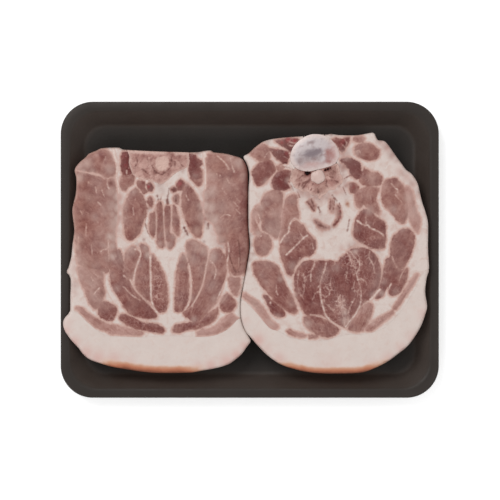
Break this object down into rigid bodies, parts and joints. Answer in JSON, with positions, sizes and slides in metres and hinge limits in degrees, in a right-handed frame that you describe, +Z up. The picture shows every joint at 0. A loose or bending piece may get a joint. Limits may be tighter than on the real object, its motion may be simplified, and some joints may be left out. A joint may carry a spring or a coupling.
{
  "type": "meat tray pack",
  "caption": "Shallow black foam supermarket tray holding bone-in pork neck slices side by side, cut face up, with the back fat and rind along one long side.",
  "frame": {"origin": "middle of the tray's underside", "axes": "+X along the tray's long side, towards the slice with the round end plate, +Y towards the bones at the slices' top edge, +Z up out of the open tray"},
  "size_m": [0.235, 0.184, 0.0225],
  "materials": {
    "black_foam": "satin skin of pressed polystyrene foam",
    "lean_meat": "soft raw pork muscle, slightly moist, marbled with fat",
    "back_fat": "firm cream fat with a thin orange-brown rind on the outer edge",
    "bone": "sawn spongy bone",
    "cartilage": "moist pearly cartilage",
    "spinal_cord": "moist cream"
  },
  "bodies": {
    "root": {"foam_tray": "black_foam", "left_slice_lean": "lean_meat", "left_slice_back_fat": "back_fat", "left_slice_vertebra": "bone", "right_slice_lean": "lean_meat", "right_slice_back_fat": "back_fat", "right_slice_end_plate": "cartilage", "right_slice_bone_arch": "bone", "right_slice_spinal_cord": "spinal_cord"}
  },
  "joints": []
}
